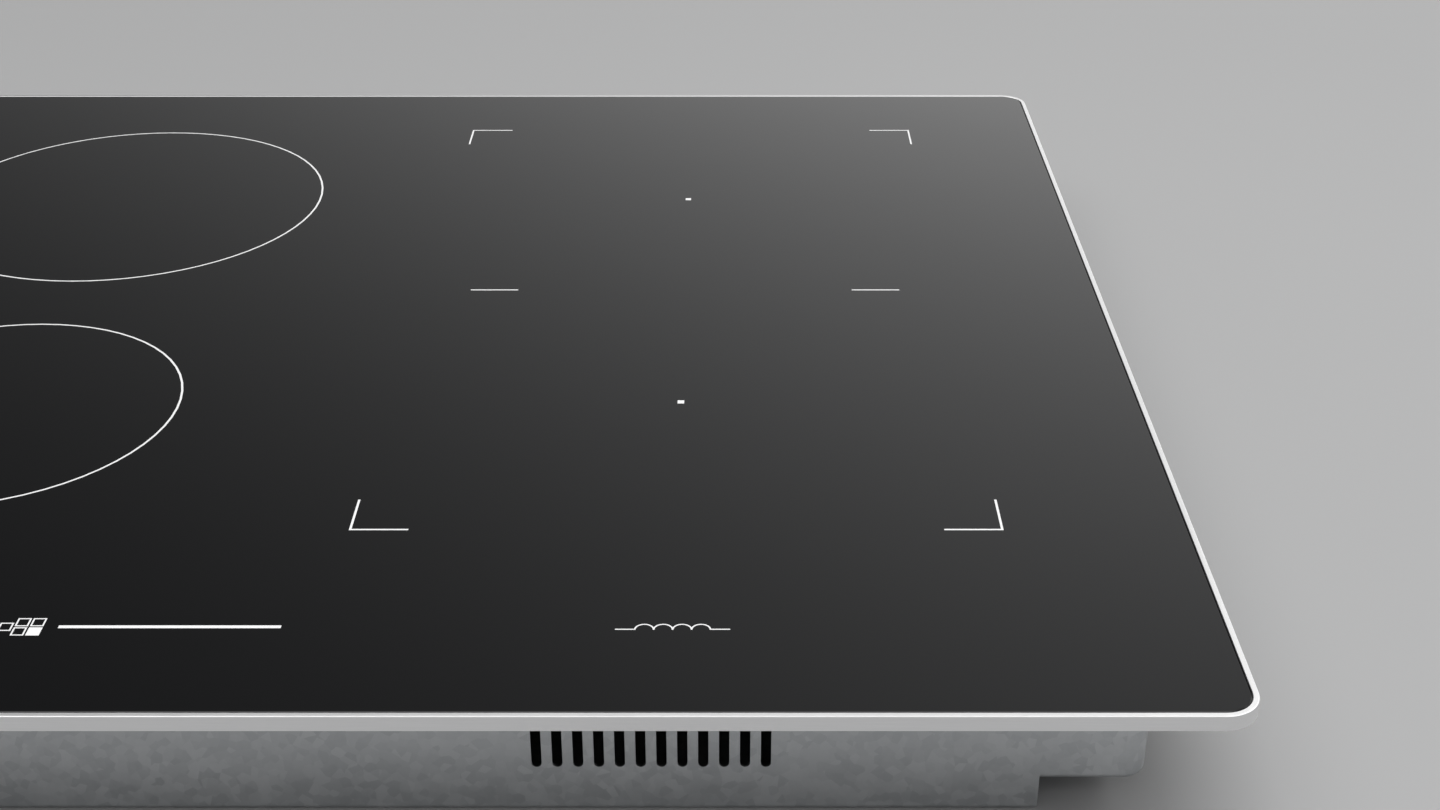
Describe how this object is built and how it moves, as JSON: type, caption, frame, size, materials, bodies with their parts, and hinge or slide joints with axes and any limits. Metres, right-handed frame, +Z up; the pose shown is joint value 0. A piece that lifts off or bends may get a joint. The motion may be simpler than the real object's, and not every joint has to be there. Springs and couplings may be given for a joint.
{
  "type": "electric induction cooktop",
  "caption": "Flush-edged induction cooktop: black glass panel in a slim steel trim, ringed cooking zones, touch sliders and a shallow case that drops into a worktop.",
  "frame": {"origin": "middle of the footprint, on the bottom of the case", "axes": "+X to the right as the cook stands, +Y to the back, +Z up"},
  "size_m": [0.914, 0.54, 0.056],
  "materials": {
    "ceramic_glass": "polished black glass-ceramic",
    "trim_steel": "satin stainless steel",
    "white_print": "fired light grey enamel",
    "foam": "closed-cell foam",
    "silicone": "cured silicone",
    "galvanised": "galvanised sheet steel",
    "zinc_hardware": "bright zinc plate",
    "aluminium_sheet": "plain rolled sheet",
    "ferrite": "ground ferrite",
    "former_plastic": "glass-filled moulding",
    "copper_litz": "enamelled copper strand",
    "fibre_mat": "ceramic-fibre felt",
    "sensor_ceramic": "unglazed ceramic",
    "spring_steel": "drawn spring wire",
    "circuit_board": "green solder mask",
    "heatsink_alloy": "extruded alloy",
    "component_plastic": "moulded component cases",
    "fan_plastic": "black moulding",
    "rotor_plastic": "dark grey moulding",
    "carrier_plastic": "off-white moulding",
    "pad_rubber": "conductive rubber",
    "terminal_plastic": "flame-retardant moulding",
    "gland_plastic": "black nylon",
    "wire_insulation": "silicone insulation"
  },
  "bodies": {
    "case": {"bottom_tray": "galvanised", "cable_gland": "gland_plastic", "coil_support_plates": "aluminium_sheet", "control_markings": "white_print", "edge_trim": "trim_steel", "glass_adhesive": "silicone", "glass_panel": "ceramic_glass", "left_board_components": "component_plastic", "left_fan_housing": "fan_plastic", "left_heatsink": "heatsink_alloy", "left_power_board": "circuit_board", "right_board_components": "component_plastic", "right_fan_housing": "fan_plastic", "right_heatsink": "heatsink_alloy", "right_power_board": "circuit_board", "screws": "zinc_hardware", "support_frame": "galvanised", "support_posts": "zinc_hardware", "terminal_block": "terminal_plastic", "touch_board": "circuit_board", "touch_carrier": "carrier_plastic", "touch_pads": "pad_rubber", "wiring_loom": "wire_insulation", "worktop_gasket": "foam", "zone_markings": "white_print"},
    "large_coil_module": {"large_coil_base_plate": "aluminium_sheet", "large_coil_ferrites": "ferrite", "large_coil_former": "former_plastic", "large_coil_winding": "copper_litz", "large_coil_heat_mat": "fibre_mat", "large_coil_sensor": "sensor_ceramic", "large_coil_springs": "spring_steel"},
    "rear_coil_module": {"rear_coil_base_plate": "aluminium_sheet", "rear_coil_ferrites": "ferrite", "rear_coil_former": "former_plastic", "rear_coil_winding": "copper_litz", "rear_coil_heat_mat": "fibre_mat", "rear_coil_sensor": "sensor_ceramic", "rear_coil_springs": "spring_steel"},
    "front_coil_module": {"front_coil_base_plate": "aluminium_sheet", "front_coil_ferrites": "ferrite", "front_coil_former": "former_plastic", "front_coil_winding": "copper_litz", "front_coil_heat_mat": "fibre_mat", "front_coil_sensor": "sensor_ceramic", "front_coil_springs": "spring_steel"},
    "bridge_coil_module": {"bridge_coil_base_plate": "aluminium_sheet", "bridge_coil_ferrites": "ferrite", "bridge_coil_former": "former_plastic", "bridge_coil_winding": "copper_litz", "bridge_coil_heat_mat": "fibre_mat", "bridge_coil_sensor": "sensor_ceramic", "bridge_coil_springs": "spring_steel"},
    "left_rotor": {"left_fan_rotor": "rotor_plastic"},
    "right_rotor": {"right_fan_rotor": "rotor_plastic"},
    "rear_left_clamp_arm": {"rear_left_clamp": "zinc_hardware"},
    "rear_right_clamp_arm": {"rear_right_clamp": "zinc_hardware"},
    "front_left_clamp_arm": {"front_left_clamp": "zinc_hardware"},
    "front_right_clamp_arm": {"front_right_clamp": "zinc_hardware"},
    "lid": {"terminal_lid": "terminal_plastic"}
  },
  "joints": [
    {"name": "large_coil_float", "type": "slide", "parent": "case", "child": "large_coil_module", "axis": [0, 0, 1], "range_m": [-0.003, 0], "stiffness_N_per_m": 6000, "springref_m": 0.01, "deforming": ["large_coil_springs"]},
    {"name": "rear_coil_float", "type": "slide", "parent": "case", "child": "rear_coil_module", "axis": [0, 0, 1], "range_m": [-0.003, 0], "stiffness_N_per_m": 3000, "springref_m": 0.01, "deforming": ["rear_coil_springs"]},
    {"name": "front_coil_float", "type": "slide", "parent": "case", "child": "front_coil_module", "axis": [0, 0, 1], "range_m": [-0.003, 0], "stiffness_N_per_m": 2000, "springref_m": 0.01, "deforming": ["front_coil_springs"]},
    {"name": "bridge_coil_float", "type": "slide", "parent": "case", "child": "bridge_coil_module", "axis": [0, 0, 1], "range_m": [-0.003, 0], "stiffness_N_per_m": 8000, "springref_m": 0.01, "deforming": ["bridge_coil_springs"]},
    {"name": "left_fan_spin", "type": "hinge", "parent": "case", "child": "left_rotor", "pos_m": [-0.33255, 0.02505, 0.015], "axis": [0, 0, 1], "continuous": true},
    {"name": "right_fan_spin", "type": "hinge", "parent": "case", "child": "right_rotor", "pos_m": [0.0651, 0.02505, 0.015], "axis": [0, 0, 1], "continuous": true},
    {"name": "rear_left_clamp_swing", "type": "hinge", "parent": "case", "child": "rear_left_clamp_arm", "pos_m": [-0.414, 0.162, 0.005], "axis": [0, 0, 1], "range_deg": [-90, 0]},
    {"name": "rear_right_clamp_swing", "type": "hinge", "parent": "case", "child": "rear_right_clamp_arm", "pos_m": [0.414, 0.162, 0.005], "axis": [0, 0, 1], "range_deg": [0, 90]},
    {"name": "front_left_clamp_swing", "type": "hinge", "parent": "case", "child": "front_left_clamp_arm", "pos_m": [-0.414, -0.17, 0.005], "axis": [0, 0, 1], "range_deg": [0, 90]},
    {"name": "front_right_clamp_swing", "type": "hinge", "parent": "case", "child": "front_right_clamp_arm", "pos_m": [0.414, -0.17, 0.005], "axis": [0, 0, 1], "range_deg": [-90, 0]},
    {"name": "lid_hinge", "type": "hinge", "parent": "case", "child": "lid", "pos_m": [0.33, 0.242, 0.031], "axis": [1, 0, 0], "range_deg": [0, 95]}
  ]
}
